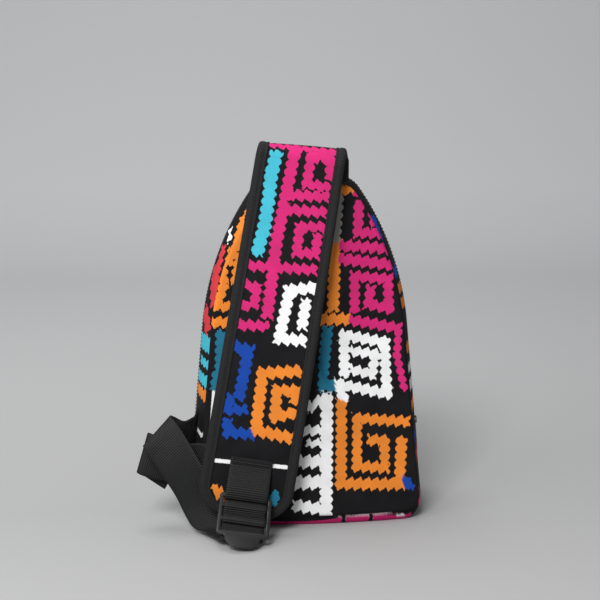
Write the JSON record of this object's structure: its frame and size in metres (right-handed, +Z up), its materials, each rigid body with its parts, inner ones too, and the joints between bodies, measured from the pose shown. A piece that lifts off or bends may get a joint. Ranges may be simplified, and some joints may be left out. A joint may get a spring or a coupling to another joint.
{
  "type": "sling bag",
  "caption": "Teardrop sling bag with a zipped gusset, a padded strap folded over its top, and a webbing adjuster with a tilting ladder lock.",
  "frame": {"origin": "on the floor under the middle of the bag's body, at the base mount", "axes": "+Z up; the back panel with the strap in front of it faces -Y; the front panel faces +Y; +X is to the right in the picture"},
  "size_m": [0.252, 0.1717, 0.3272],
  "materials": {
    "printed_cloth": "woven polyester, printed in bright squared spirals on black",
    "lining_mesh": "plain black knit",
    "binding_tape": "ribbed binding tape",
    "webbing": "ribbed woven webbing",
    "zip_tape": "fine woven tape",
    "zip_coil": "spun coil",
    "moulded_plastic": "satin moulded",
    "zip_metal": "dark plated"
  },
  "bodies": {
    "bag": {"back_panel": "printed_cloth", "front_panel": "printed_cloth", "side_gusset": "printed_cloth", "zip_gusset_back": "printed_cloth", "zip_gusset_front": "printed_cloth", "zip_tape_back": "zip_tape", "zip_tape_front": "zip_tape", "zip_coil_back": "zip_coil", "zip_coil_front": "zip_coil", "seam_binding_back": "binding_tape", "seam_binding_front": "binding_tape", "strap_pad": "printed_cloth", "strap_lining": "lining_mesh", "strap_binding": "binding_tape", "webbing_tab": "webbing", "adjuster_webbing": "webbing", "corner_tab": "printed_cloth"},
    "ladder_lock": {"ladder_lock": "moulded_plastic"},
    "zip_slider": {"zip_slider": "zip_metal"},
    "zip_puller": {"zip_puller": "zip_metal"}
  },
  "joints": [
    {"name": "lock_tilt", "type": "hinge", "parent": "bag", "child": "ladder_lock", "pos_m": [-0.0564, -0.09119, 0.03606], "axis": [-0.9851, 0, 0.1719], "range_deg": [0, 40], "deforming": ["adjuster_webbing"]},
    {"name": "slider_travel", "type": "slide", "parent": "bag", "child": "zip_slider", "axis": [-0.0871, -0.04, 0.9954], "range_m": [0, 0.08]},
    {"name": "puller_swing", "type": "hinge", "parent": "zip_slider", "child": "zip_puller", "pos_m": [0.10067, 0.00658, 0.0753], "axis": [0.0035, -0.9992, -0.0399], "range_deg": [0, 150]}
  ]
}
